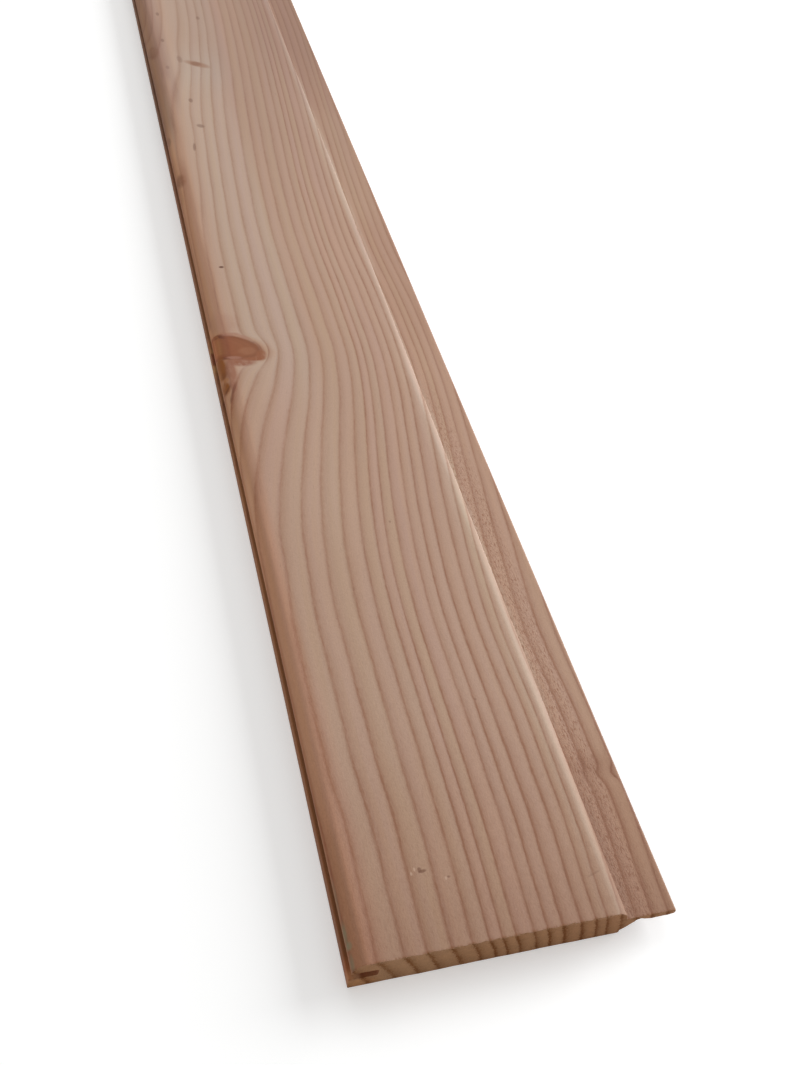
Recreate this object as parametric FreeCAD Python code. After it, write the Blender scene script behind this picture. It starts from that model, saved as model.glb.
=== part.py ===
import FreeCAD, Part
import math
import os

# A softwood cladding board, planed from one piece of timber, with a tongue on one long edge and a
# groove on the other. It lies on its back, with its moulded face up.
#
# Millimetres. +X runs across the board from the groove to the tongue, +Y along its grain and +Z from
# its back to its face. The origin is the middle of the board's outline, on its back.
#
# The whole board is one section drawn in the XZ plane and drawn out along the grain. The section is
# a list of corners, each with the radius that its cutter leaves there, so a change to one size moves
# every corner that depends on it and the arcs follow.

# Driving dimensions of the board
BOARD_LENGTH = 2000.0
BOARD_WIDTH = 146.0
BOARD_THICKNESS = 20.0

# The edge with the groove: a lip at the face, the groove and a lip at the back
FACE_LIP = 7.0
GROOVE_HEIGHT = 5.6
GROOVE_DEPTH = 12.4
GROOVE_TAPER = 0.3
GROOVE_CORNER_RADIUS = 0.8
FACE_LIP_SETBACK = 0.8

# The edge with the tongue: it stands out further than the groove is deep, which leaves a shadow gap
# between the faces of two joined boards
TONGUE_LENGTH = 23.8
TONGUE_ROOT = 4.5
TONGUE_TIP = 3.9
TONGUE_NOSE_RADIUS = 1.2
TONGUE_PLAY = 0.2

# The step behind the tongue: a short upright land, then a slope up to the tongue
BACK_SETBACK = 0.5
BACK_LAND = 2.0
BACK_SLOPE_RUN = 5.5
BACK_SLOPE_RADIUS = 1.5

# What the face cutter and the sanding leave on the edges
FACE_ROUND = 6.7
LEAST_FLANK = 0.3
ARRIS_RADIUS = 0.7

# Worked out from the above
LEFT = -BOARD_WIDTH / 2
RIGHT = BOARD_WIDTH / 2
FACE = BOARD_THICKNESS
GROOVE_TOP = FACE - FACE_LIP
GROOVE_BOTTOM = GROOVE_TOP - GROOVE_HEIGHT
GROOVE_END = LEFT + GROOVE_DEPTH
FACE_LIP_EDGE = LEFT + FACE_LIP_SETBACK
TONGUE_TOP = GROOVE_TOP - TONGUE_PLAY
TONGUE_UNDER = TONGUE_TOP - TONGUE_ROOT
SHOULDER = RIGHT - TONGUE_LENGTH
BACK_SHOULDER = SHOULDER - BACK_SETBACK
SLOPE_END = BACK_SHOULDER + BACK_SLOPE_RUN
NOSE_RADIUS = min(TONGUE_NOSE_RADIUS, 0.45 * TONGUE_TIP)


def face_round(flank_foot):
    """The face cutter's radius over a flank that ends at the height flank_foot."""
    return min(FACE_ROUND, FACE - flank_foot - LEAST_FLANK)


def groove_side():
    """Corners (x, z, radius) of the grooved edge, from the back up to the face."""
    return [
        (LEFT, 0.0, ARRIS_RADIUS),
        (LEFT, GROOVE_BOTTOM, ARRIS_RADIUS),
        (GROOVE_END, GROOVE_BOTTOM + GROOVE_TAPER, GROOVE_CORNER_RADIUS),
        (GROOVE_END, GROOVE_TOP - GROOVE_TAPER, GROOVE_CORNER_RADIUS),
        (FACE_LIP_EDGE, GROOVE_TOP, 0.0),
        (FACE_LIP_EDGE, FACE, face_round(GROOVE_TOP)),
    ]


def tongue_side():
    """Corners (x, z, radius) of the tongued edge, from the face down to the back."""
    return [
        (SHOULDER, FACE, face_round(TONGUE_TOP)),
        (SHOULDER, TONGUE_TOP, 0.0),
        (RIGHT, TONGUE_TOP, NOSE_RADIUS),
        (RIGHT, TONGUE_TOP - TONGUE_TIP, NOSE_RADIUS),
        (SLOPE_END, TONGUE_UNDER, BACK_SLOPE_RADIUS),
        (BACK_SHOULDER, BACK_LAND, 0.0),
        (BACK_SHOULDER, 0.0, ARRIS_RADIUS),
    ]


def corner_arc(before, corner, after, radius):
    """The arc that rounds a corner, as its first, middle and last point."""
    towards_before = (before - corner).normalize()
    towards_after = (after - corner).normalize()
    half_angle = towards_before.getAngle(towards_after) / 2
    cut_back = radius / math.tan(half_angle)
    bisector = (towards_before + towards_after).normalize()
    to_centre = radius / math.sin(half_angle)
    first = corner + towards_before * cut_back
    last = corner + towards_after * cut_back
    middle = corner + bisector * (to_centre - radius)
    return first, middle, last


def section_wire(corners):
    """A closed wire through the corners, with a line between each two and an arc at each radius."""
    points = [FreeCAD.Vector(x, 0, z) for x, z, radius in corners]
    count = len(corners)
    arcs = []
    for index in range(count):
        before = points[index - 1]
        after = points[(index + 1) % count]
        radius = corners[index][2]
        if radius > 0:
            arcs.append(corner_arc(before, points[index], after, radius))
        else:
            arcs.append((points[index],))
    edges = []
    for index in range(count):
        arc = arcs[index]
        if len(arc) > 1:
            edges.append(Part.Arc(*arc).toShape())
        next_start = arcs[(index + 1) % count][0]
        edges.append(Part.makeLine(arc[-1], next_start))
    return Part.Wire(edges)


def make_board():
    """The section drawn out along the grain, half the length each way from the origin."""
    section = Part.Face(section_wire(groove_side() + tongue_side()))
    section.translate(FreeCAD.Vector(0, -BOARD_LENGTH / 2, 0))
    return section.extrude(FreeCAD.Vector(0, BOARD_LENGTH, 0))


def main():
    os.makedirs("parts", exist_ok=True)
    board = make_board()
    if not board.isValid() or board.Volume <= 0:
        raise ValueError("the board isn't a closed solid")
    board.exportStep("parts/board.step")
    box = board.BoundBox
    print(f"board {box.XLength:.2f} x {box.YLength:.2f} x {box.ZLength:.2f} mm")
    print(f"volume {board.Volume / 1e6:.3f} litres")


main()
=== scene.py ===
import math

import bpy
import numpy as np
from bpy.props import FloatProperty, FloatVectorProperty, PointerProperty
from bpy.types import Operator, Panel, PropertyGroup
from mathutils import Matrix, Vector
from mathutils.geometry import delaunay_2d_cdt


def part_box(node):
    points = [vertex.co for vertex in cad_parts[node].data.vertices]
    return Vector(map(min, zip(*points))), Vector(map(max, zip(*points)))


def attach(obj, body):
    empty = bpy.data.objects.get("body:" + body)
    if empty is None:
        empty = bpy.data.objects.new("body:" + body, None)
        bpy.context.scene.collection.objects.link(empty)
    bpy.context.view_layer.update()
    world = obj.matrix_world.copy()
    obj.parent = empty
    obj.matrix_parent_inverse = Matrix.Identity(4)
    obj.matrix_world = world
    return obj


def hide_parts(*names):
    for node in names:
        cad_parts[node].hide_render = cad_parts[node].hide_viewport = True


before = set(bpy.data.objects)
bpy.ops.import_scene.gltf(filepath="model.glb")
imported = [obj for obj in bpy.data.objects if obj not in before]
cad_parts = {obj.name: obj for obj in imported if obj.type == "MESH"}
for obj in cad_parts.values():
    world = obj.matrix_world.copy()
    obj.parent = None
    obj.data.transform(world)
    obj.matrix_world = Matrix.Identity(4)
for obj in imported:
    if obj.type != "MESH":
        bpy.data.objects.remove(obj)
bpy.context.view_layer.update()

bl_info = {
    "name": "Cladding board",
    "version": (1, 0, 0),
    "blender": (4, 5, 0),
    "location": "View3D > Sidebar > Board",
    "description": "A softwood tongue and groove board with its grain, knot and wear",
    "category": "Add Mesh",
}

# The solid board of the frame gives the outer sizes. Shapes and grain are worked out in board
# millimetres: x across from the grooved edge, y along from the near end and z up from the back.
BOX_LOW, BOX_HIGH = (np.array(corner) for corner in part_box("board"))
MM = 0.001
WIDTH, LENGTH, THICKNESS = (BOX_HIGH - BOX_LOW) / MM

# Spacing of the mesh across the section and along the board
FACE_STEP = 1.6
EDGE_STEP = 1.8
BACK_STEP = 5.0
ARC_STEP = 1.0
CAP_STEP = 1.25
ROWS = ((0, 30, 40), (30, 110, 50), (110, 340, 77), (340, 440, 62), (440, 900, 104), (900, LENGTH, 150))

# The pith of the tree runs below and outside the grooved edge. Each ring is a cylinder about it.
PITH_ACROSS = -71.8
PITH_UP = -31.4

# Outer radius of each year's dark wood, and how dark it is
RINGS = (
    (0.0, 0.8), (6.5, 0.9), (13.0, 0.8), (20.0, 0.9), (27.0, 0.8), (33.5, 0.9), (40.0, 0.8), (46.5, 0.9),
    (53.6, 0.85), (60.6, 0.8), (68.4, 0.9), (76.9, 0.85), (86.8, 0.85), (97.4, 0.8), (107.0, 0.85),
    (115.7, 0.85), (125.2, 0.85), (133.6, 0.85), (140.3, 1.1), (145.4, 1.05), (150.9, 1.0), (158.3, 0.85),
    (164.1, 1.1), (170.6, 1.1), (178.7, 1.1), (185.1, 0.95), (189.9, 0.9), (196.5, 0.8), (203.5, 0.95),
    (210.7, 1.0), (217.9, 1.0), (225.0, 0.9), (232.0, 0.9), (239.0, 0.9),
)

# The grain drifts sideways along the board in smooth steps. Each step has its start and end along
# the board, then its drift and its skew at three lines that stand GUIDE_STEP apart on the face.
GUIDE_STEP = 50.0
DRIFTS = (
    (-10, 60, (-0.2, 1.4, 2.7), (1.0, 1.0, 1.0)),
    (62, 92, (-2.4, -0.3, 0.2), (1.0, 1.0, 1.0)),
    (100, 160, (0.0, 0.0, -0.9), (1.0, 1.0, 1.0)),
    (146, 397, (43.0, 30.2, 21.6), (1.6, 1.3, 1.05)),
    (425, 520, (0.3, -1.2, -2.9), (1.0, 1.0, 1.0)),
    (480, 920, (27.0, 18.3, 13.2), (1.0, 1.0, 1.0)),
    (560, 700, (-1.5, 1.2, 1.3), (1.0, 1.0, 1.0)),
    (720, 850, (0.9, -0.2, 1.0), (1.0, 1.0, 1.0)),
    (940, 1320, (-25.0, -17.0, -12.0), (1.0, 1.0, 1.0)),
    (1400, 1800, (9.0, 7.0, 5.0), (1.0, 1.0, 1.0)),
)

# Small places where the grain is pushed aside: (x, y), reach across and along, push towards the tongue
PUSHES = (
    ((12.0, 345.0), (14.0, 34.0), -3.2),
    ((4.0, 205.0), (14.0, 26.0), 1.3),
    ((14.0, 585.0), (10.0, 45.0), 1.8),
    ((28.0, 800.0), (8.0, 36.0), -1.8),
    ((144.0, 195.0), (8.0, 70.0), 1.9),
    ((22.0, 389.0), (10.7, 11.0), 17.0),
    ((142.0, 70.0), (14.0, 3.6), -2.6),
    ((18.0, 650.0), (12.0, 35.0), 2.8),
    ((22.0, 760.0), (12.0, 50.0), 3.4),
    ((40.0, 762.0), (20.0, 26.0), 0.9),
)

# How strong the dark lines are along the board: distance from the near end, strength
LINE_STRENGTH = (
    (0, 1.0), (60, 1.0), (150, 0.89), (250, 0.78), (500, 0.73), (750, 0.66), (850, 0.58), (1100, 0.7), (1800, 0.9),
)

# Places where the lines are darker or fainter: (x, y), reach across and along, how much is added
DARK_LINES = (
    ((5.0, 350.0), (7.0, 15.0), 1.1),
    ((34.0, 384.0), (4.0, 12.0), 0.7),
    ((131.0, 78.0), (2.5, 5.0), 0.9),
    ((124.0, 82.0), (2.0, 12.0), 0.6),
    ((142.0, 71.0), (5.0, 4.0), 0.6),
    ((20.0, 376.0), (8.0, 6.5), -0.85),
    ((24.0, 402.0), (5.0, 5.0), -0.6),
    ((135.0, 780.0), (14.0, 160.0), -0.28),
)

# Broad washes over the wood, of its colour and of painted light and shade: from and to across and its
# softness, the same along, and what it multiplies
FAR = 1e5
WASHES = (
    # painted shade: darker towards the near end and towards the far one
    ((-FAR, FAR, 1), (-FAR, 15, 60), (0.88, 0.84, 0.82)),
    ((-FAR, FAR, 1), (-FAR, 75, 110), (0.91, 0.86, 0.82)),
    ((50, FAR, 60), (600, FAR, 300), (0.86, 0.85, 0.86)),
    ((90, FAR, 50), (765, FAR, 150), (0.86, 0.83, 0.83)),
    # paler wood on the face
    ((25, 60, 20), (230, 360, 60), (1.04, 1.06, 1.08)),
    ((18, 58, 16), (360, 780, 80), (1.04, 1.14, 1.21)),
    ((22, 65, 16), (740, FAR, 80), (0.97, 1.04, 1.10)),
    ((113, FAR, 3), (540, 700, 40), (1.05, 1.09, 1.09)),
    # the edge over the groove: browned, with painted shade on its upright flank and painted light on its rounding, and
    # lighter and darker in places along it
    # browner and darker on the upright flank below the face lip: brown stain with painted shade
    ((-FAR, 1.5, 1), (-FAR, FAR, 1), (0.84, 0.70, 0.58)),
    # painted light: the rounding, which turns away from the lamps, made brighter
    ((-FAR, 4.5, 3), (-FAR, FAR, 1), (1.32, 1.29, 1.17)),
    # the brown stain of the handled edge
    ((-FAR, 10, 8), (-FAR, FAR, 1), (0.98, 0.82, 0.71)),
    ((1.5, 6.5, 1.5), (-FAR, 62, 20), (0.94, 0.94, 0.92)),
    ((-FAR, 3.2, 2), (200, 310, 40), (1.13, 1.17, 1.22)),
    ((-FAR, 10, 8), (390, 620, 60), (0.89, 0.84, 0.80)),
    ((2.5, 6.5, 2), (400, 700, 60), (1.13, 1.20, 1.26)),
    ((-FAR, 3, 1), (560, 782, 20), (0.89, 0.85, 0.78)),
    ((-FAR, 9.5, 4), (650, FAR, 60), (0.62, 0.60, 0.58)),
    # lighter and darker strips beside that edge
    ((10.5, 15.5, 2), (-FAR, 140, 30), (1.05, 1.03, 1.05)),
    ((6.5, 9.8, 2), (260, 620, 60), (0.87, 0.87, 0.88)),
    ((8.5, 12.5, 2), (415, 540, 30), (1.08, 1.13, 1.17)),
    ((5, 9.5, 2), (610, 715, 25), (1.05, 1.13, 1.17)),
    ((7, 18, 4), (700, FAR, 60), (0.86, 0.85, 0.88)),
    ((7, 14, 2), (745, FAR, 20), (0.86, 0.83, 0.84)),
    # wood round the knot
    ((-FAR, 5, 3), (388, 408, 5), (1.25, 1.60, 1.85)),
    ((3, 8, 2), (386, 403, 5), (1.10, 1.30, 1.32)),
    ((-FAR, 2.2, 1), (386, 418, 6), (1.32, 1.40, 1.38)),
    # the shoulder, with its painted highlight and painted shade, and the foot of the tongue below it
    # painted highlight on the shoulder's rounding, brightest towards the near end
    ((112, 118.5, 3), (-FAR, 380, 100), (1.05, 1.10, 1.11)),
    # the painted highlight made cooler all along the shoulder
    ((116, 121.6, 2), (-FAR, FAR, 1), (0.93, 1.0, 1.04)),
    # painted shade dimming the shoulder's highlight beyond 400 mm
    ((117, 121.8, 2), (400, FAR, 100), (0.86, 0.86, 0.86)),
    # painted shade in the corner at the foot of the shoulder, near the near end
    ((120.5, 126, 1.5), (-FAR, 65, 30), (0.89, 0.88, 0.88)),
    ((120.5, 124.4, 1.2), (100, 760, 40), (1.05, 1.15, 1.20)),
    # the tongue, its tip and the crease across it
    ((124, FAR, 3), (-FAR, FAR, 1), (0.98, 0.955, 0.93)),
    ((124, FAR, 3), (-FAR, 80, 50), (0.95, 0.92, 0.89)),
    ((125, FAR, 3), (400, FAR, 80), (0.93, 0.91, 0.90)),
    ((125, FAR, 4), (68, 80, 8), (0.90, 0.86, 0.84)),
    ((143, FAR, 3), (-FAR, FAR, 1), (0.90, 0.86, 0.82)),
)

# The dirt and painted shade in the groove and on the lip below it, and what is left of them at the near end, lighter
# and redder there as painted light
GROOVE_DIRT_AND_SHADE = (0.64, 0.55, 0.39)
GROOVE_MOUTH_DIRT_AND_LIGHT = (1.10, 0.86, 0.62)
GROOVE_MOUTH = 14.0

# Pale torn fibres in the groove's mouth: how far they reach across and along, and their tone
MOUTH_TEAR = (5.6, 4.0)
MOUTH_TEAR_TONE = (1.15, 1.55, 2.1)

# The knot is a cone of branch wood that starts at the pith and leans towards the near end
KNOT_START = 422.5
KNOT_RISE = math.radians(34.0)
KNOT_LEAN = -0.288
KNOT_SPREAD = 0.1193

# Under the tongue a piece has broken out at the near end: from and to across, how far it reaches
# along the board, its depth and the height above which the wood is whole
BREAK_START = 126.2
BREAK_END = 135.0
BREAK_REACH = 4.0
BREAK_RISE = 2.6
BREAK_ROOF = 12.6


def board_vector(points):
    """Board millimetres to metres in the frame: each point is scaled and moved to the box's corner."""
    return np.asarray(points) * MM + BOX_LOW


# Sizes and colours


def millimetres(name, text, size):
    """A length that is shown with its unit and kept in metres."""
    return FloatProperty(name=name, description=text, default=size * MM, min=0.0, unit="LENGTH", precision=4)


def paint(name, text, colour):
    """A linear colour."""
    return FloatVectorProperty(name=name, description=text, default=colour, size=3, min=0.0, max=1.0, subtype="COLOR")


def share(name, text, value, most=1.0):
    """A number from 0 to most."""
    return FloatProperty(name=name, description=text, default=value, min=0.0, max=most)


class BoardSizes(PropertyGroup):
    """The section of the board, apart from its width and thickness, which the frame gives."""
    face_lip: millimetres("Face lip", "Wood between the groove and the face", 7.0)
    groove_height: millimetres("Groove height", "Opening of the groove at its mouth", 5.6)
    groove_depth: millimetres("Groove depth", "From the grooved edge to the bottom of the groove", 12.4)
    groove_taper: millimetres("Groove taper", "What each wall closes in by at the bottom", 0.3)
    groove_corner: millimetres("Groove corner", "Radius at the bottom of the groove", 0.8)
    lip_setback: millimetres("Lip setback", "How far the face lip stands behind the back lip", 0.8)
    tongue_length: millimetres("Tongue length", "From the face's shoulder to the tip", 23.8)
    tongue_root: millimetres("Tongue root", "Thickness at the shoulder", 4.5)
    tongue_tip: millimetres("Tongue tip", "Thickness at the nose", 3.9)
    tongue_nose: millimetres("Tongue nose", "Radius of the nose's two corners", 1.2)
    tongue_play: millimetres("Tongue play", "How far the tongue's top lies below the groove's", 0.2)
    back_setback: millimetres("Back setback", "How far the back's shoulder lies behind the face's", 0.5)
    back_land: millimetres("Back land", "Upright part of the back's shoulder", 2.0)
    back_slope_run: millimetres("Back slope", "Width of the slope up to the tongue", 5.5)
    back_slope_corner: millimetres("Slope corner", "Radius where the slope meets the tongue", 1.5)
    face_round: millimetres("Face round", "Radius along both edges of the face", 6.7)
    arris: millimetres("Arris", "Radius of the sanded edges at the back", 0.7)


class BoardColours(PropertyGroup):
    """Colours and depths of the wood."""
    early: paint("Spring wood", "The broad pale part of each ring", (0.450, 0.290, 0.209))
    late: paint("Summer wood", "The dark line that ends each ring", (0.284, 0.133, 0.075))
    knot: paint("Knot", "The branch's own wood", (0.246, 0.078, 0.028))
    knot_edge: paint("Knot edge", "The dark line round the knot", (0.130, 0.032, 0.010))
    resin: paint("Resin", "The stain beside the knot", (0.285, 0.084, 0.008))
    end_early: paint("End spring wood", "Pale rings on the sawn ends", (0.432, 0.228, 0.113))
    end_late: paint("End summer wood", "Dark rings on the sawn ends", (0.185, 0.063, 0.013))
    dirt: paint("Dirt", "Specks and small dark marks", (0.120, 0.048, 0.024))
    streaks: share("Streaks", "Strength of the lengthwise colour streaks", 0.11)
    fuzz: share("Fuzz", "Strength of the raised fibres' fine mottle", 0.16)
    roughness: share("Roughness", "How dull the planed surface is", 0.66)


class StageSettings(PropertyGroup):
    """The floor and the light."""
    floor: paint("Floor", "Colour of the floor", (0.80, 0.80, 0.80))
    key: share("Key light", "Power of the large lamp behind the tongue, in watts", 67.0, 2000.0)
    fill: share("Fill light", "Power of the soft lamp over the board, in watts", 20.0, 2000.0)
    surround: share("Surround", "Strength of the even light from all sides", 0.40, 5.0)


# The shape


def smooth_step(value):
    """0 below 0, 1 above 1 and 3t^2 - 2t^3 between, which starts and stops level."""
    t = np.clip(value, 0.0, 1.0)
    return t * t * (3.0 - 2.0 * t)


def section_corners(sizes):
    """Corners (x, z, radius) of the section, up the grooved edge, over the face and down the tongued edge."""
    groove_top = THICKNESS - sizes.face_lip / MM
    groove_bottom = groove_top - sizes.groove_height / MM
    taper = sizes.groove_taper / MM
    groove_end = sizes.groove_depth / MM
    lip_edge = sizes.lip_setback / MM
    tongue_top = groove_top - sizes.tongue_play / MM
    shoulder = WIDTH - sizes.tongue_length / MM
    back_shoulder = shoulder - sizes.back_setback / MM
    slope_end = back_shoulder + sizes.back_slope_run / MM
    nose = sizes.tongue_nose / MM
    arris = sizes.arris / MM
    return [
        (0.0, 0.0, arris),
        (0.0, groove_bottom, arris),
        (groove_end, groove_bottom + taper, sizes.groove_corner / MM),
        (groove_end, groove_top - taper, sizes.groove_corner / MM),
        (lip_edge, groove_top, 0.0),
        (lip_edge, THICKNESS, sizes.face_round / MM),
        (shoulder, THICKNESS, sizes.face_round / MM),
        (shoulder, tongue_top, 0.0),
        (WIDTH, tongue_top, nose),
        (WIDTH, tongue_top - sizes.tongue_tip / MM, nose),
        (slope_end, tongue_top - sizes.tongue_root / MM, sizes.back_slope_corner / MM),
        (back_shoulder, sizes.back_land / MM, 0.0),
        (back_shoulder, 0.0, arris),
    ]


def corner_points(before, corner, after, radius):
    """Points on the arc of a radius that touches both sides of a corner, or the corner alone.

    The arc's centre lies on the corner's bisector at radius / sin(half angle), and the angle about
    it goes evenly from one touching point to the other."""
    if radius <= 0.0:
        return corner[None, :]
    to_before = (before - corner) / np.linalg.norm(before - corner)
    to_after = (after - corner) / np.linalg.norm(after - corner)
    half = math.acos(float(np.dot(to_before, to_after))) / 2.0
    bisector = (to_before + to_after) / np.linalg.norm(to_before + to_after)
    centre = corner + bisector * radius / math.sin(half)
    sweep = math.pi - 2.0 * half
    count = max(4, int(math.ceil(sweep * radius / ARC_STEP)) + 1)
    turn = np.linspace(-sweep / 2.0, sweep / 2.0, count)
    across = (to_after - to_before) / np.linalg.norm(to_after - to_before)
    return centre - bisector * radius * np.cos(turn)[:, None] + across * radius * np.sin(turn)[:, None]


def section_outline(sizes):
    """The closed outline as points (x, z), and which of them are sharp edges of the board."""
    corners = section_corners(sizes)
    places = [np.array(corner[:2]) for corner in corners]
    arcs = []
    for index, corner in enumerate(corners):
        after = places[(index + 1) % len(corners)]
        arcs.append(corner_points(places[index - 1], places[index], after, corner[2]))
    outline = []
    sharp = []
    for index, arc in enumerate(arcs):
        start = arc[-1]
        end = arcs[(index + 1) % len(arcs)][0]
        middle_height = (start[1] + end[1]) / 2.0
        level = abs(start[1] - end[1]) < 0.01
        step = EDGE_STEP
        if level and middle_height > THICKNESS - 0.01:
            step = FACE_STEP
        if level and middle_height < 0.01:
            step = BACK_STEP
        count = max(1, int(round(np.linalg.norm(end - start) / step)))
        run = np.linspace(0.0, 1.0, count, endpoint=False)[1:, None]
        outline.append(np.vstack([arc, start + (end - start) * run]))
        sharp += [len(arc) == 1] + [False] * (len(arc) + count - 2)
    return np.vstack(outline), np.array(sharp)


def row_places():
    """Distances from the near end of the mesh's rows: even steps within each span of ROWS."""
    spans = [np.linspace(start, end, count, endpoint=False) for start, end, count in ROWS]
    return np.concatenate(spans + [np.array([LENGTH])])


def ripple(x, y, seed, reach):
    """A smooth random height between about -1 and 1: six sines of random direction and phase."""
    draw = np.random.default_rng(seed)
    total = np.zeros(np.broadcast(x, y).shape)
    for _ in range(6):
        angle = draw.uniform(0.0, math.tau)
        scale = draw.uniform(0.6, 1.8) * math.tau / reach
        total += np.sin(scale * (x * math.cos(angle) + y * math.sin(angle)) + draw.uniform(0.0, math.tau))
    return total / 3.0


def worn_shape(points):
    """Moves the board's points by what the saw, the plane and handling left.

    The sawn ends are uneven by a ripple across them, most at the top arris. Under the tongue a piece
    has broken out at the near end: the underside rises by a smooth bump there."""
    x, y, z = points.T
    near = np.exp(-y / 1.2)
    far = np.exp(-(LENGTH - y) / 1.2)
    top = smooth_step((z - THICKNESS + 1.5) / 1.5)
    rough = 0.10 * ripple(x, z, 3, 4.0) + top * 0.24 * ripple(x, z * 0.0, 4, 2.6)
    y = y + near * (rough + 0.16) - far * (rough + 0.16)
    over_break = smooth_step((x - BREAK_START) / 3.0) * smooth_step((BREAK_END - x) / 6.0)
    reach = over_break * np.exp(-((y / BREAK_REACH) ** 2)) * (1.0 + 0.2 * ripple(x, y, 6, 2.5))
    below_top = np.clip((BREAK_ROOF - z) / 4.5, 0.0, 1.0)
    z = z + BREAK_RISE * reach * below_top
    return np.stack([x, y, z], axis=1)


def inside_outline(points, outline):
    """Which points lie inside the outline: a ray from each crosses it an odd number of times."""
    x, z = points.T[:, :, None]
    x0, z0 = outline.T[:, None, :]
    x1, z1 = np.roll(outline, -1, axis=0).T[:, None, :]
    rise = np.where(z1 == z0, 1e-9, z1 - z0)
    crossing = ((z0 > z) != (z1 > z)) & (x < x0 + (z - z0) * (x1 - x0) / rise)
    return crossing.sum(axis=1) % 2 == 1


def cap_mesh(outline):
    """Points inside the outline and the triangles that fill it, facing the near end.

    A grid of points is kept where it lies inside and clear of the outline, and a Delaunay
    triangulation joins it to the outline's own points."""
    across = np.arange(CAP_STEP / 2.0, WIDTH, CAP_STEP)
    up = np.arange(CAP_STEP / 2.0, THICKNESS, CAP_STEP)
    grid = np.stack(np.meshgrid(across, up), axis=-1).reshape(-1, 2)
    grid = grid[inside_outline(grid, outline)]
    gap = np.linalg.norm(grid[:, None, :] - outline[None, :, :], axis=2).min(axis=1)
    grid = grid[gap > 0.55 * CAP_STEP]
    flat = np.vstack([outline, grid])
    # the outline runs clockwise seen from the near end, and the filler wants it the other way
    border = list(range(len(outline)))[::-1]
    made, _, faces, origins, _, _ = delaunay_2d_cdt([Vector(p) for p in flat.tolist()], [], [border], 1, 1e-6)
    if len(made) != len(flat):
        raise RuntimeError("the end of the board can't be filled")
    index = np.array([source[0] for source in origins])
    return grid, index[np.array(faces)]


def timber_fields(points):
    """What the wood is like at each point of the board.

    The grain's drift is the sum of the smooth steps in DRIFTS at three guides, and a parabola
    through them gives it for any x. Taking the drift away gives the place that the point's ring has
    at the near end, and its distance from the pith gives the ring. The knot's value is the angle to
    the branch's middle over its spread, so it is 1 on the knot's outline."""
    x, y, z = points.T
    pushed = np.array(x)
    for (middle, place), (reach_across, reach_along), push in PUSHES:
        pushed -= push * np.exp(-(((x - middle) / reach_across) ** 2) - ((y - place) / reach_along) ** 2)
    guides = np.zeros((3, len(y)))
    for start, end, drift, skew in DRIFTS:
        t = np.clip((y - start) / (end - start), 0.0, 1.0)
        for guide in range(3):
            guides[guide] += drift[guide] * smooth_step(t ** skew[guide])
    bend = (guides[2] - 2.0 * guides[1] + guides[0]) / 2.0
    slope = GUIDE_STEP + guides[1] - guides[0] - bend
    run = pushed - guides[0]
    guide_place = 2.0 * run / (slope + np.sqrt(slope * slope + 4.0 * bend * run))
    across = guide_place * GUIDE_STEP - PITH_ACROSS
    up = z - PITH_UP
    radius = np.hypot(across, up)
    radii, depths = np.array(RINGS).T
    order = np.arange(len(radii), dtype=float)
    ring = np.interp(radius, radii, order)
    depth = np.interp(ring, order, depths) * np.interp(y, *np.array(LINE_STRENGTH).T)
    for (middle, place), (reach_across, reach_along), more in DARK_LINES:
        nearness = np.exp(-(((x - middle) / reach_across) ** 2) - ((y - place) / reach_along) ** 2)
        depth *= 1.0 + more * nearness
    around = np.arctan2(up, across) * 130.0

    axis = np.array([math.cos(KNOT_RISE), KNOT_LEAN, math.sin(KNOT_RISE)])
    axis /= np.linalg.norm(axis)
    out = np.stack([x - PITH_ACROSS, y - KNOT_START, up], axis=1)
    along = np.maximum(out @ axis, 1.0)
    aside = np.linalg.norm(out - along[:, None] * axis, axis=1)
    knot = aside / along / KNOT_SPREAD

    tone = np.ones((len(x), 3))
    for (left, right, soft_x), (start, end, soft_y), factor in WASHES:
        across_mask = smooth_step((x - left) / soft_x + 0.5) * smooth_step((right - x) / soft_x + 0.5)
        along_mask = smooth_step((y - start) / soft_y + 0.5) * smooth_step((end - y) / soft_y + 0.5)
        tone *= 1.0 + (across_mask * along_mask)[:, None] * (np.array(factor) - 1.0)

    # dirt and painted shade in the groove and on the lip below it, with painted light at the groove's mouth
    below_lip = smooth_step(14.0 - x) * smooth_step(z - 0.3) * smooth_step((13.2 - z) / 0.2)
    inward = smooth_step(y / GROOVE_MOUTH)[:, None]
    dirt = np.array(GROOVE_DIRT_AND_SHADE) * inward + np.array(GROOVE_MOUTH_DIRT_AND_LIGHT) * (1.0 - inward)
    tone *= 1.0 + below_lip[:, None] * (dirt - 1.0)
    torn = below_lip * smooth_step((MOUTH_TEAR[0] - x) / 2.0 + 0.5) * smooth_step((MOUTH_TEAR[1] - y) / 3.0 + 0.5)
    tone *= 1.0 + torn[:, None] * (np.array(MOUTH_TEAR_TONE) - 1.0)

    # raised fibres: all over the near part, and most on the tongue beside the shoulder
    beside = smooth_step((x - 122.0) / 1.5) * smooth_step((141.0 - x) / 14.0) * smooth_step((420.0 - y) / 200.0)
    fuzz = np.interp(y, (0.0, 300.0, 600.0), (0.95, 0.65, 0.22)) + 1.5 * beside
    return {
        "ring": ring,
        "depth": depth,
        "knot": np.minimum(knot, 4.0),
        "fuzz": fuzz,
        "grain": np.stack([radius, around, y], axis=1) * MM,
        "tone": tone,
    }


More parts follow.
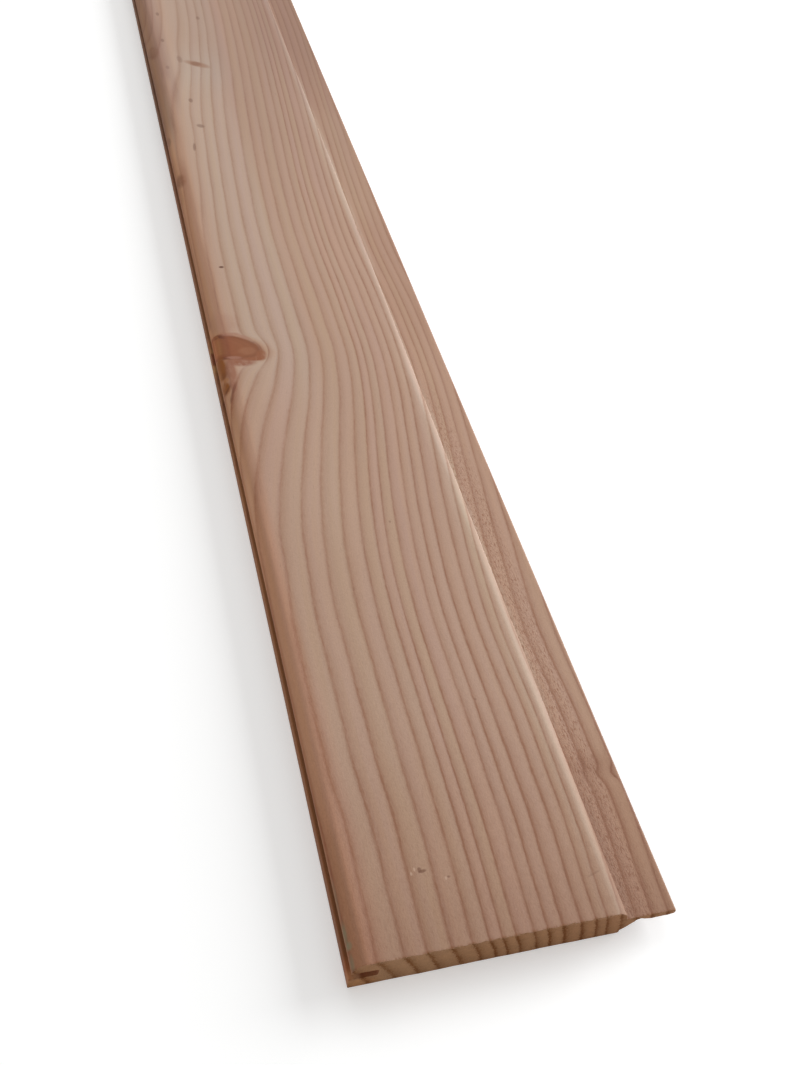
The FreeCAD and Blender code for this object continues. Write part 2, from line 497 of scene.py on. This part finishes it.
def board_mesh(sizes):
    """The board as one closed mesh: the outline carried along the rows, and both ends filled."""
    outline, sharp = section_outline(sizes)
    rows = row_places()
    wide, tall = len(outline), len(rows)
    skin = np.empty((tall, wide, 3))
    skin[:, :, 0] = outline[:, 0]
    skin[:, :, 1] = rows[:, None]
    skin[:, :, 2] = outline[:, 1]
    inner, cap = cap_mesh(outline)
    ends = []
    for place in (0.0, LENGTH):
        ends.append(np.stack([inner[:, 0], np.full(len(inner), place), inner[:, 1]], axis=1))
    points = np.vstack([skin.reshape(-1, 3)] + ends)

    column = np.arange(wide)
    row = np.arange(tall - 1)[:, None] * wide
    following = np.roll(column, -1)
    quads = np.stack([row + column, row + following, row + wide + following, row + wide + column], axis=-1)
    last_row = (tall - 1) * wide
    skin_count = wide * tall
    near_cap = np.where(cap < wide, cap, cap - wide + skin_count)
    far_cap = np.where(cap < wide, cap + last_row, cap - wide + skin_count + len(inner))
    faces = quads.reshape(-1, 4).tolist() + near_cap.tolist() + far_cap[:, ::-1].tolist()

    mesh = bpy.data.meshes.new("tongue_groove_board")
    mesh.from_pydata(board_vector(worn_shape(points)).tolist(), [], faces)
    mesh.polygons.foreach_set("use_smooth", np.ones(len(faces), dtype=bool))
    end_faces = np.arange(len(faces)) >= quads.size // 4
    mesh.polygons.foreach_set("material_index", end_faces.astype(np.int32))

    edges = np.empty(len(mesh.edges) * 2, dtype=np.int32)
    mesh.edges.foreach_get("vertices", edges)
    first, second = edges.reshape(-1, 2).T
    on_skin = (first < skin_count) & (second < skin_count)
    same_row = first // wide == second // wide
    at_end = np.isin(first // wide, (0, tall - 1)) & same_row & on_skin
    same_column = (first % wide == second % wide) & on_skin
    mark = at_end | (same_column & sharp[first % wide])
    mesh.attributes.new("sharp_edge", "BOOLEAN", "EDGE").data.foreach_set("value", mark)

    for name, values in timber_fields(points).items():
        kind = "FLOAT_VECTOR" if values.ndim == 2 else "FLOAT"
        field = mesh.attributes.new(name, kind, "POINT")
        field.data.foreach_set("vector" if values.ndim == 2 else "value", values.astype(np.float32).ravel())
    mesh.update()
    return mesh


# Materials


class NodeSheet:
    """The nodes of one material. Each method adds a node and gives its output."""

    def __init__(self, name):
        self.material = bpy.data.materials.new(name)
        self.material.use_nodes = True
        self.tree = self.material.node_tree
        self.tree.nodes.clear()

    def add(self, kind, inputs=(), **settings):
        """A node with its settings, and its inputs by number or name as values or other outputs."""
        node = self.tree.nodes.new(kind)
        for name, value in settings.items():
            setattr(node, name, value)
        for name, value in dict(inputs).items():
            if isinstance(value, bpy.types.NodeSocket):
                self.tree.links.new(value, node.inputs[name])
            else:
                node.inputs[name].default_value = value
        return node

    def maths(self, operation, *values, clamp=False):
        node = self.add("ShaderNodeMath", dict(enumerate(values)), operation=operation, use_clamp=clamp)
        return node.outputs[0]

    def field(self, name, output="Fac"):
        return self.add("ShaderNodeAttribute", attribute_name=name).outputs[output]

    def ramp(self, value, low, high, start=0.0, end=1.0):
        """Goes smoothly from start at low to end at high."""
        inputs = {0: value, 1: low, 2: high, 3: start, 4: end}
        return self.add("ShaderNodeMapRange", inputs, interpolation_type="SMOOTHSTEP").outputs[0]

    def mix(self, amount, first, second, blend="MIX"):
        node = self.add("ShaderNodeMix", data_type="RGBA", blend_type=blend)
        for number, value in ((0, amount), (6, first), (7, second)):
            if isinstance(value, bpy.types.NodeSocket):
                self.tree.links.new(value, node.inputs[number])
            elif number == 0:
                node.inputs[0].default_value = value
            else:
                node.inputs[number].default_value = (*value, 1.0)
        return node.outputs[2]

    def stretch(self, vector, scale, place=(0.0, 0.0, 0.0), turn=(0.0, 0.0, 0.0), kind="POINT"):
        inputs = {"Vector": vector, "Location": place, "Rotation": turn, "Scale": scale}
        return self.add("ShaderNodeMapping", inputs, vector_type=kind).outputs[0]

    def noise(self, vector, scale, detail=2.0, roughness=0.5):
        """Noise from 0 to 1 over a vector whose three parts are divided by the sizes in scale, in mm."""
        per_metre = tuple(1.0 / (size * MM) for size in scale)
        inputs = {"Vector": self.stretch(vector, per_metre), "Scale": 1.0, "Detail": detail, "Roughness": roughness}
        return self.add("ShaderNodeTexNoise", inputs).outputs[0]

    def curve(self, value, points):
        """A smooth curve through the points (input, output), both from 0 to 1."""
        node = self.add("ShaderNodeFloatCurve", {1: value})
        line = node.mapping.curves[0]
        while len(line.points) < len(points):
            line.points.new(0.5, 0.5)
        for point, place in zip(line.points, points):
            point.location = place
            point.handle_type = "AUTO_CLAMPED"
        node.mapping.update()
        return node.outputs[0]

    def spot(self, coordinates, place, size, turn=0.0):
        """1 in the middle of an ellipse on the board and 0 at its edge. Place and size are in mm."""
        centre = Vector(board_vector(place))
        radii = [max(value, 0.01) * MM for value in size]
        inputs = {"Vector": coordinates, "Location": centre, "Rotation": (0.0, 0.0, turn), "Scale": radii}
        local = self.add("ShaderNodeMapping", inputs, vector_type="TEXTURE").outputs[0]
        reach = self.add("ShaderNodeVectorMath", {0: local}, operation="LENGTH").outputs["Value"]
        return self.ramp(reach, 0.45, 1.0, 1.0, 0.0)

    def finish(self, colour, roughness, normal, specular):
        shader = self.add("ShaderNodeBsdfPrincipled", {"Base Color": colour, "Roughness": roughness, "Normal": normal})
        shader.inputs["Specular IOR Level"].default_value = specular
        output = self.add("ShaderNodeOutputMaterial")
        self.tree.links.new(shader.outputs[0], output.inputs[0])
        return self.material


# Darkness over one ring, from its dark line over the pale wood to the next line
RING_PROFILE = (
    (0.0, 1.0), (0.03, 0.90), (0.075, 0.68), (0.125, 0.53), (0.175, 0.42), (0.225, 0.33), (0.30, 0.23),
    (0.40, 0.13), (0.55, 0.02), (0.75, 0.0), (0.82, 0.06), (0.88, 0.24), (0.93, 0.56), (0.97, 0.90), (1.0, 1.0),
)

# Small marks on the face: (x, y), half width and half length, turn in degrees, strength
SPECKS = (
    ((16.2, 863.0), (2.0, 4.6), 0, 0.45),
    ((50.6, 856.0), (2.1, 4.6), 0, 0.40),
    ((15.0, 812.0), (2.0, 4.2), 0, 0.45),
    ((13.8, 763.0), (2.0, 4.0), 0, 0.32),
    ((25.6, 707.0), (2.2, 4.4), 0, 0.50),
    ((28.2, 666.5), (4.4, 3.2), -35, 0.50),
    ((19.4, 635.0), (1.5, 7.5), -6, 0.50),
    ((17.2, 479.0), (2.2, 1.5), 0, 1.0),
    ((74.0, 236.0), (0.8, 1.1), 0, 0.35),
    ((43.8, 192.0), (0.8, 1.9), 0, 0.14),
    ((87.0, 116.0), (0.7, 1.1), 0, 0.35),
    ((25.3, 777.5), (2.8, 8.0), 4, 0.32),
    ((49.3, 30.4), (1.0, 0.7), 0, 0.45),
    ((112.6, 19.8), (4.4, 0.7), 18, 0.22),
)

# Small tears in the planed face, in the same form
TEARS = (
    ((38.8, 34.9), (2.4, 1.0), 8, 0.75),
    ((37.7, 35.7), (1.2, 1.6), 0, 0.7),
)

# Torn chips that catch the light: (x, y), half width and half length
CHIPS = (
    ((33.8, 34.6), (0.7, 1.1)),
    ((35.6, 36.3), (0.6, 1.2)),
    ((48.0, 30.0), (0.7, 1.1)),
)

# The short bruise across the grain: name of its colour, (x, y), half length and half width, strength
DASH_TURN = math.radians(-31.0)
DASHES = (
    ("dash", (38.8, 768.8), (14.5, 5.4), 0.62),
    ("dash_core", (37.7, 769.3), (6.2, 4.6), 0.60),
)

# Colours of the stains and marks
PAINTS = {
    "glow": (0.430, 0.165, 0.045),
    "blush": (0.330, 0.150, 0.098),
    "flush": (0.252, 0.083, 0.032),
    "heart": (0.330, 0.138, 0.068),
    "patch": (0.192, 0.076, 0.034),
    "sore": (0.240, 0.088, 0.036),
    "pink": (0.260, 0.093, 0.048),
    "scab": (0.110, 0.028, 0.005),
    "moss": (0.230, 0.260, 0.150),
    "chip": (0.560, 0.380, 0.280),
    "tear": (0.165, 0.070, 0.038),
    "frayed": (0.500, 0.290, 0.170),
    "dash": (0.270, 0.125, 0.066),
    "dash_core": (0.200, 0.085, 0.042),
}

# Stains: name of the colour, (x, y), half width and half length, turn in degrees, strength
STAINS = (
    ("resin", (1.6, 376.0), (5.0, 15.0), 0, 1.5),
    ("resin", (2.2, 358.0), (3.8, 8.0), 0, 1.1),
    ("pink", (7.6, 371.0), (4.6, 13.5), 0, 0.75),
    ("pink", (6.9, 358.5), (2.8, 7.0), 0, 0.75),
    ("scab", (2.6, 369.2), (2.4, 4.0), 0, 0.30),
    ("glow", (0.3, 370.0), (2.3, 17.0), 0, 0.85),
    ("glow", (3.6, 364.3), (2.2, 2.6), 0, 0.6),
    ("scab", (3.1, 355.4), (1.0, 5.0), -35, 0.55),
    ("knot_edge", (7.2, 355.4), (1.2, 8.0), -20, 0.6),
    ("knot_edge", (4.5, 347.5), (1.2, 5.5), -16, 0.45),
    ("flush", (23.0, 381.6), (8.5, 2.6), -3, 1.1),
    ("flush", (28.2, 384.6), (4.4, 6.6), -12, 0.95),
    ("heart", (20.5, 389.5), (7.0, 5.0), 0, 0.5),
    ("pink", (15.0, 379.0), (11.0, 5.0), -6, 0.9),
    ("flush", (12.6, 379.2), (2.8, 1.0), -14, 0.6),
    ("blush", (11.2, 383.8), (6.2, 2.0), -4, 0.8),
    ("knot_edge", (6.4, 383.2), (3.6, 1.2), -8, 0.5),
    ("blush", (12.5, 406.8), (7.5, 2.4), 0, 0.65),
    ("blush", (20.5, 403.2), (6.5, 2.2), -35, 0.6),
    ("knot_edge", (6.4, 404.4), (1.6, 3.3), 43, 0.9),
    ("knot_edge", (2.6, 405.4), (2.8, 1.0), -30, 0.4),
    ("blush", (9.0, 418.0), (12.0, 14.0), 0, 0.3),
    ("sore", (3.0, 589.5), (5.8, 11.0), 0, 0.75),
    ("knot_edge", (144.2, 39.8), (3.2, 1.3), -50, 1.3),
    ("patch", (4.8, 790.0), (6.4, 14.0), 0, 0.5),
    ("patch", (1.4, 648.0), (2.4, 9.0), 0, 0.6),
    ("moss", (1.5, 10.5), (1.7, 2.6), 0, 0.6),
    ("moss", (1.0, 16.0), (1.3, 9.0), 0, 0.6),
    ("moss", (1.3, 3.5), (1.2, 6.0), 0, 0.45),
    ("moss", (0.9, 32.0), (0.9, 14.0), 0, 0.3),
)


def wood_rings(sheet, jagged):
    """Darkness of the ring at a point, and a random number for that ring.

    The ring's number comes from the mesh. Its fraction goes through RING_PROFILE after a small
    wobble and the jagged share of a ring's width have been added, and its whole part picks the
    random number."""
    grain = sheet.field("grain", "Vector")
    wide = sheet.noise(grain, (14.0, 14.0, 40.0), 1.0)
    fine = sheet.noise(grain, (1.1, 1.1, 3.0), 3.0, 0.65)
    wobble = sheet.maths("MULTIPLY_ADD", wide, 0.14, -0.07)
    jag = sheet.maths("MULTIPLY_ADD", fine, jagged, -jagged / 2.0)
    ring = sheet.maths("ADD", sheet.maths("ADD", sheet.field("ring"), wobble), jag)
    phase = sheet.maths("FRACT", ring)
    year = sheet.maths("FLOOR", ring)
    chance = sheet.add("ShaderNodeTexWhiteNoise", {"W": year}, noise_dimensions="1D").outputs["Value"]
    dark = sheet.curve(phase, RING_PROFILE)
    patchy = sheet.noise(grain, (9.0, 9.0, 40.0), 2.0)
    broken = sheet.noise(grain, (0.9, 0.9, 5.0), 2.0, 0.6)
    strength = sheet.maths("MULTIPLY", sheet.field("depth"), sheet.ramp(patchy, 0.25, 0.7, 0.82, 1.08))
    strength = sheet.maths("MULTIPLY", strength, sheet.ramp(broken, 0.3, 0.7, 0.84, 1.18))
    return grain, sheet.maths("MULTIPLY", dark, strength, clamp=True), chance


def fibre_fields(sheet, grain):
    """Fine and broad lengthwise streaks and short dark dashes, as three numbers from 0 to 1."""
    fine = sheet.noise(grain, (0.45, 0.45, 16.0), 3.0, 0.65)
    broad = sheet.noise(grain, (2.6, 2.6, 110.0), 3.0, 0.55)
    dashes = sheet.noise(grain, (0.55, 0.55, 4.5), 1.0)
    return fine, broad, sheet.ramp(dashes, 0.66, 0.78)


def planed_wood(colours):
    """The planed faces: rings, streaks, raised fibres, the knot with its rim, stains, specks and chips."""
    sheet = NodeSheet("planed_softwood")
    place = sheet.add("ShaderNodeTexCoord").outputs["Object"]
    grain, dark, chance = wood_rings(sheet, 0.13)
    fine, broad, dashes = fibre_fields(sheet, grain)

    early = tuple(colours.early)
    pinker = tuple(np.array(early) * (1.015, 0.985, 1.0))
    yellower = tuple(np.array(early) * (1.0, 1.01, 0.975))
    pale = sheet.mix(chance, pinker, yellower)
    cooler = sheet.ramp(sheet.noise(grain, (4.0, 4.0, 110.0), 2.0, 0.5), 0.36, 0.64)
    pale = sheet.mix(1.0, pale, sheet.mix(cooler, (1.003, 1.0, 0.982), (0.997, 1.0, 1.025)), "MULTIPLY")
    colour = sheet.mix(dark, pale, tuple(colours.late))

    streak = sheet.maths("MULTIPLY_ADD", fine, colours.streaks, 1.0 - colours.streaks / 2.0)
    band = sheet.maths("MULTIPLY_ADD", broad, colours.streaks * 0.9, 1.0 - colours.streaks * 0.45)
    speckle = sheet.maths("MULTIPLY_ADD", dashes, -0.10, 1.0)
    shade = sheet.maths("MULTIPLY", sheet.maths("MULTIPLY", streak, band), speckle)
    fibres = sheet.noise(place, (0.75, 1.0, 0.75), 3.0, 0.7)
    fuzz = sheet.field("fuzz")
    raised = sheet.maths("MULTIPLY", sheet.maths("SUBTRACT", fibres, 0.5), fuzz)
    shade = sheet.maths("MULTIPLY", shade, sheet.maths("MULTIPLY_ADD", raised, colours.fuzz * 2.0, 1.0))
    pits = sheet.noise(place, (0.75, 3.2, 0.75), 3.0, 0.75)
    pits = sheet.maths("MULTIPLY", sheet.ramp(pits, 0.47, 0.66), sheet.ramp(fuzz, 0.6, 1.7))
    tint = sheet.add("ShaderNodeCombineColor", {0: shade, 1: shade, 2: shade}).outputs[0]
    colour = sheet.mix(1.0, colour, tint, "MULTIPLY")
    colour = sheet.mix(sheet.maths("MULTIPLY", pits, 0.95), colour, tuple(colours.late))

    # the knot, its faint rings, its rim and the flushed wood round it
    knot = sheet.field("knot")
    knot_noise = sheet.noise(place, (2.5, 6.0, 2.5), 3.0, 0.6)
    reach = sheet.maths("ADD", knot, sheet.maths("MULTIPLY_ADD", knot_noise, 0.16, -0.08))
    halo = sheet.ramp(reach, 1.0, 1.32, 0.75, 0.0)
    colour = sheet.mix(halo, colour, (0.90, 0.70, 0.56), "MULTIPLY")
    knot_rings = sheet.maths("SINE", sheet.maths("MULTIPLY", reach, 30.0))
    knot_dark = sheet.ramp(reach, 0.55, 1.0, 0.02, 0.30)
    knot_dark = sheet.maths("MULTIPLY_ADD", knot_rings, 0.06, knot_dark)
    knot_wood = sheet.mix(knot_dark, tuple(colours.knot), tuple(colours.knot_edge))
    colour = sheet.mix(sheet.ramp(reach, 0.93, 1.06, 1.0, 0.0), colour, knot_wood)
    rim = sheet.maths("MULTIPLY", sheet.ramp(reach, 0.88, 1.0), sheet.ramp(reach, 1.0, 1.1, 1.0, 0.0))
    rim = sheet.maths("MULTIPLY", rim, sheet.ramp(knot_noise, 0.42, 0.62, 0.05, 0.5))
    colour = sheet.mix(rim, colour, tuple(colours.knot_edge))

    # the washes of colour, painted light and painted shade, and the groove's dirt and painted shade
    colour = sheet.mix(1.0, colour, sheet.field("tone", "Color"), "MULTIPLY")

    # stains, specks and chips
    paints = dict(PAINTS, resin=tuple(colours.resin), knot_edge=tuple(colours.knot_edge))
    for name, (x, y), (half_width, half_length), turn, strength in STAINS:
        stain = sheet.spot(place, (x, y, THICKNESS), (half_width, half_length, 9.0), math.radians(turn))
        patchy = sheet.maths("MULTIPLY", stain, sheet.ramp(knot_noise, 0.25, 0.6, 0.55 * strength, strength))
        colour = sheet.mix(patchy, colour, paints[name])
    from_end = sheet.add("ShaderNodeSeparateXYZ", {0: place}).outputs["Y"]
    near_end = sheet.ramp(from_end, float(BOX_LOW[1]) + 0.1 * MM, float(BOX_LOW[1]) + 1.3 * MM, 1.0, 0.0)
    splinters = sheet.noise(place, (1.2, 8.0, 8.0), 2.0, 0.6)
    splinters = sheet.maths("MULTIPLY", near_end, sheet.ramp(splinters, 0.42, 0.66, 0.0, 0.7))
    splinters = sheet.maths("MAXIMUM", splinters, sheet.maths("MULTIPLY", near_end, dark))
    colour = sheet.mix(sheet.maths("MULTIPLY", splinters, 0.8), colour, tuple(colours.end_late))
    marks = None
    for (x, y), (half_width, half_length), turn, strength in SPECKS:
        mark = sheet.spot(place, (x, y, THICKNESS), (half_width, half_length, 3.0), math.radians(turn))
        mark = sheet.maths("MULTIPLY", mark, strength)
        marks = mark if marks is None else sheet.maths("MAXIMUM", marks, mark)
    colour = sheet.mix(marks, colour, tuple(colours.dirt))
    for (x, y), (half_width, half_length), turn, strength in TEARS:
        tear = sheet.spot(place, (x, y, THICKNESS), (half_width, half_length, 3.0), math.radians(turn))
        colour = sheet.mix(sheet.maths("MULTIPLY", tear, strength), colour, paints["tear"])
    for (x, y), (half_width, half_length) in CHIPS:
        chip = sheet.spot(place, (x, y, THICKNESS), (half_width, half_length, 3.0))
        colour = sheet.mix(sheet.maths("MULTIPLY", chip, 0.6), colour, paints["chip"])
    for name, middle, size, strength in DASHES:
        dash = sheet.spot(place, (*middle, THICKNESS), (*size, 3.0), DASH_TURN)
        colour = sheet.mix(sheet.maths("MULTIPLY", dash, strength), colour, paints[name])

    rough = sheet.maths("MULTIPLY_ADD", fine, 0.12, colours.roughness - 0.06)
    rough = sheet.maths("MULTIPLY_ADD", dark, -0.06, rough)
    height = sheet.maths("MULTIPLY_ADD", fine, 0.35, sheet.maths("MULTIPLY", dark, 0.25))
    height = sheet.maths("MULTIPLY_ADD", raised, 1.4, height)
    height = sheet.maths("MULTIPLY_ADD", marks, -1.2, height)
    height = sheet.maths("MULTIPLY_ADD", pits, -0.5, height)
    height = sheet.maths("MULTIPLY_ADD", rim, -0.8, height)
    bump = sheet.add("ShaderNodeBump", {"Strength": 0.55, "Distance": 0.00012, "Height": height})
    return sheet.finish(colour, rough, bump.outputs[0], 0.3)


# Across the sawn ends the wood is paler at the grooved side and darker at the tongued side:
# from and to across, the colour factor before and the factor after
END_TONES = (
    (6.0, 16.0, (0.96, 0.95, 0.94), (1.05, 1.10, 1.14)),
    (28.0, 60.0, (1.04, 1.03, 1.05), (0.98, 0.92, 0.89)),
    (75.0, 115.0, (1.0, 1.0, 1.0), (0.96, 0.92, 0.91)),
)


def sawn_end(colours):
    """The sawn ends: darker rings, open pores, torn and frayed wood at the arris and upright scratches."""
    sheet = NodeSheet("sawn_end_grain")
    place = sheet.add("ShaderNodeTexCoord").outputs["Object"]
    _, dark, _ = wood_rings(sheet, 0.48)
    pores = sheet.noise(place, (0.35, 3.0, 0.35), 2.0, 0.6)
    blotch = sheet.noise(place, (7.0, 20.0, 5.0), 3.0, 0.6)
    scratches = sheet.noise(place, (0.5, 20.0, 9.0), 2.0)
    parts = sheet.add("ShaderNodeSeparateXYZ", {0: place}).outputs
    under_arris = sheet.ramp(parts["Z"], (THICKNESS - 2.2) * MM, THICKNESS * MM)
    torn = sheet.noise(place, (1.3, 8.0, 3.0), 2.0, 0.6)
    torn = sheet.maths("MULTIPLY", under_arris, sheet.ramp(torn, 0.45, 0.65, 0.0, 0.55))
    dark = sheet.maths("MULTIPLY", dark, 1.12, clamp=True)
    flecks = sheet.ramp(sheet.noise(place, (0.8, 8.0, 1.3), 2.0, 0.6), 0.60, 0.74, 0.0, 0.32)
    dark = sheet.maths("MAXIMUM", sheet.maths("MAXIMUM", dark, torn), flecks)
    colour = sheet.mix(dark, tuple(colours.end_early), tuple(colours.end_late))
    shade = sheet.maths("MULTIPLY_ADD", pores, 0.70, 0.45)
    shade = sheet.maths("MULTIPLY_ADD", blotch, 0.40, shade)
    tint = sheet.add("ShaderNodeCombineColor", {0: shade, 1: shade, 2: shade}).outputs[0]
    colour = sheet.mix(1.0, colour, tint, "MULTIPLY")
    for start, end, before, after in END_TONES:
        low, high = (float(BOX_LOW[0]) + value * MM for value in (start, end))
        colour = sheet.mix(1.0, colour, sheet.mix(sheet.ramp(parts["X"], low, high), before, after), "MULTIPLY")
    frayed = sheet.noise(place, (0.9, 8.0, 1.4), 2.0, 0.6)
    frayed = sheet.maths("MULTIPLY", under_arris, sheet.ramp(frayed, 0.44, 0.64, 0.05, 0.95))
    colour = sheet.mix(frayed, colour, PAINTS["frayed"])
    lip = sheet.spot(place, (5.0, 0.0, 3.2), (10.0, 6.0, 4.6))
    colour = sheet.mix(lip, colour, (1.22, 1.16, 1.06), "MULTIPLY")
    height = sheet.maths("MULTIPLY_ADD", scratches, 0.8, pores)
    height = sheet.maths("MULTIPLY_ADD", frayed, 1.2, height)
    bump = sheet.add("ShaderNodeBump", {"Strength": 0.7, "Distance": 0.00025, "Height": height})
    rough = sheet.maths("MULTIPLY_ADD", pores, 0.10, 0.80)
    return sheet.finish(colour, rough, bump.outputs[0], 0.15)


# The stage

# The camera stands over the grooved edge, beyond the near end, and looks down along the board
CAMERA_PLACE = (-0.1525, -1.1710, 0.4719)
CAMERA_HEADING = math.radians(21.527)
CAMERA_DIP = math.radians(46.536)
CAMERA_ROLL = math.radians(10.049)
CAMERA_LENS = 38.87
FLOOR_HALF = 6.0

# Distances from the middle of the floor between which it turns white to the camera
LIFT_START = 0.9
LIFT_END = 3.2
LIFT_NEAR = 0.38


def make_camera():
    """A camera at the place and in the direction of the picture, as the scene's camera."""
    data = bpy.data.cameras.new("picture_camera")
    data.sensor_width = 36.0
    data.lens = CAMERA_LENS
    data.clip_end = 50.0
    camera = bpy.data.objects.new("picture_camera", data)
    heading = Matrix.Rotation(-CAMERA_HEADING, 4, "Z")
    dip = Matrix.Rotation(math.pi / 2.0 - CAMERA_DIP, 4, "X")
    roll = Matrix.Rotation(CAMERA_ROLL, 4, "Z")
    camera.matrix_world = Matrix.Translation(CAMERA_PLACE) @ heading @ dip @ roll
    bpy.context.scene.collection.objects.link(camera)
    bpy.context.scene.camera = camera


def make_lamp(name, place, target, size, watts, colour):
    """A square area lamp that looks at a point."""
    data = bpy.data.lights.new(name, "AREA")
    data.size = size
    data.energy = watts
    data.color = colour
    lamp = bpy.data.objects.new(name, data)
    lamp.location = place
    direction = Vector(target) - Vector(place)
    lamp.rotation_euler = direction.to_track_quat("-Z", "Y").to_euler()
    bpy.context.scene.collection.objects.link(lamp)


def camera_or_mirror(sheet):
    """1 for rays from the camera, off gloss or through glass, and 0 for those that carry light."""
    rays = sheet.add("ShaderNodeLightPath").outputs
    seen = sheet.maths("MAXIMUM", rays["Is Camera Ray"], rays["Is Glossy Ray"])
    return sheet.maths("MAXIMUM", seen, rays["Is Transmission Ray"])


def make_floor(settings):
    """A pale floor that looks white to the camera and keeps the board's shadow."""
    corners = [(-FLOOR_HALF, -FLOOR_HALF), (FLOOR_HALF, -FLOOR_HALF), (FLOOR_HALF, FLOOR_HALF), (-FLOOR_HALF, FLOOR_HALF)]
    height = float(BOX_LOW[2]) - 0.0002
    mesh = bpy.data.meshes.new("studio_floor")
    mesh.from_pydata([(x, y, height) for x, y in corners], [], [(0, 1, 2, 3)])
    floor = bpy.data.objects.new("studio_floor", mesh)
    bpy.context.scene.collection.objects.link(floor)
    sheet = NodeSheet("floor_paint")
    place = sheet.add("ShaderNodeTexCoord").outputs["Object"]
    cloud = sheet.noise(place, (400.0, 400.0, 400.0), 2.0)
    colour = sheet.mix(cloud, tuple(np.array(settings.floor) * 0.98), tuple(np.array(settings.floor)))
    matt = sheet.add("ShaderNodeBsdfDiffuse", {"Color": colour})
    from_board = sheet.add("ShaderNodeVectorMath", {0: place}, operation="LENGTH").outputs["Value"]
    lift = sheet.ramp(from_board, LIFT_START, LIFT_END, LIFT_NEAR, 1.0)
    glow = sheet.add("ShaderNodeEmission", {"Strength": sheet.maths("MULTIPLY", camera_or_mirror(sheet), lift)})
    both = sheet.add("ShaderNodeAddShader", {0: matt.outputs[0], 1: glow.outputs[0]})
    output = sheet.add("ShaderNodeOutputMaterial", {0: both.outputs[0]})
    mesh.materials.append(sheet.material)
    return output


def make_world(settings):
    """Even light from all sides, white where the camera sees it."""
    world = bpy.data.worlds.new("studio_world")
    world.use_nodes = True
    tree = world.node_tree
    tree.nodes.clear()
    rays = tree.nodes.new("ShaderNodeLightPath").outputs
    seen = rays["Is Camera Ray"]
    for name in ("Is Glossy Ray", "Is Transmission Ray"):
        either = tree.nodes.new("ShaderNodeMath")
        either.operation = "MAXIMUM"
        tree.links.new(seen, either.inputs[0])
        tree.links.new(rays[name], either.inputs[1])
        seen = either.outputs[0]
    light = tree.nodes.new("ShaderNodeBackground")
    light.inputs[0].default_value = (1.0, 0.98, 0.95, 1.0)
    light.inputs[1].default_value = settings.surround
    white = tree.nodes.new("ShaderNodeBackground")
    white.inputs[1].default_value = 1.0
    white.inputs[0].default_value = (1.0, 1.0, 1.0, 1.0)
    mixer = tree.nodes.new("ShaderNodeMixShader")
    output = tree.nodes.new("ShaderNodeOutputWorld")
    tree.links.new(seen, mixer.inputs[0])
    tree.links.new(light.outputs[0], mixer.inputs[1])
    tree.links.new(white.outputs[0], mixer.inputs[2])
    tree.links.new(mixer.outputs[0], output.inputs[0])
    bpy.context.scene.world = world


# Operators


class BOARD_OT_make_board(Operator):
    """Make the board round the frame's own solid, with its grain, knot, ends and wear"""
    bl_idname = "board.make_board"
    bl_label = "Make board"

    def execute(self, context):
        colours = context.scene.board_colours
        mesh = board_mesh(context.scene.board_sizes)
        mesh.materials.append(planed_wood(colours))
        mesh.materials.append(sawn_end(colours))
        piece = bpy.data.objects.new("tongue_groove_board", mesh)
        context.scene.collection.objects.link(piece)
        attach(piece, "root")
        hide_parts("board")
        return {"FINISHED"}


class BOARD_OT_make_stage(Operator):
    """Make the floor, the lamps, the surrounding light and the camera"""
    bl_idname = "board.make_stage"
    bl_label = "Make stage"

    def execute(self, context):
        settings = context.scene.board_stage
        make_floor(settings)
        make_world(settings)
        make_lamp("key_lamp", (2.1, -0.2, 0.95), (0.0, -0.5, 0.0), 1.5, settings.key, (0.95, 0.98, 1.0))
        make_lamp("fill_lamp", (0.5, 1.4, 2.4), (0.0, -0.2, 0.0), 2.4, settings.fill, (0.98, 0.99, 1.0))
        make_camera()
        context.scene.view_settings.view_transform = "Standard"
        return {"FINISHED"}


class BOARD_PT_panel(Panel):
    """The board's sizes, colours and buttons"""
    bl_label = "Cladding board"
    bl_idname = "BOARD_PT_panel"
    bl_space_type = "VIEW_3D"
    bl_region_type = "UI"
    bl_category = "Board"

    def draw(self, context):
        layout = self.layout
        groups = (
            ("Section", context.scene.board_sizes, "board.make_board"),
            ("Wood", context.scene.board_colours, None),
            ("Stage", context.scene.board_stage, "board.make_stage"),
        )
        for title, group, button in groups:
            box = layout.box()
            box.label(text=title)
            for name in group.__annotations__:
                box.prop(group, name)
            if button:
                box.operator(button)


CLASSES = (BoardSizes, BoardColours, StageSettings, BOARD_OT_make_board, BOARD_OT_make_stage, BOARD_PT_panel)


def register():
    for made_class in CLASSES:
        bpy.utils.register_class(made_class)
    bpy.types.Scene.board_sizes = PointerProperty(type=BoardSizes)
    bpy.types.Scene.board_colours = PointerProperty(type=BoardColours)
    bpy.types.Scene.board_stage = PointerProperty(type=StageSettings)


def unregister():
    for name in ("board_stage", "board_colours", "board_sizes"):
        delattr(bpy.types.Scene, name)
    for made_class in reversed(CLASSES):
        bpy.utils.unregister_class(made_class)


def main():
    register()
    bpy.ops.board.make_board()
    bpy.ops.board.make_stage()


if __name__ == "__main__":
    main()
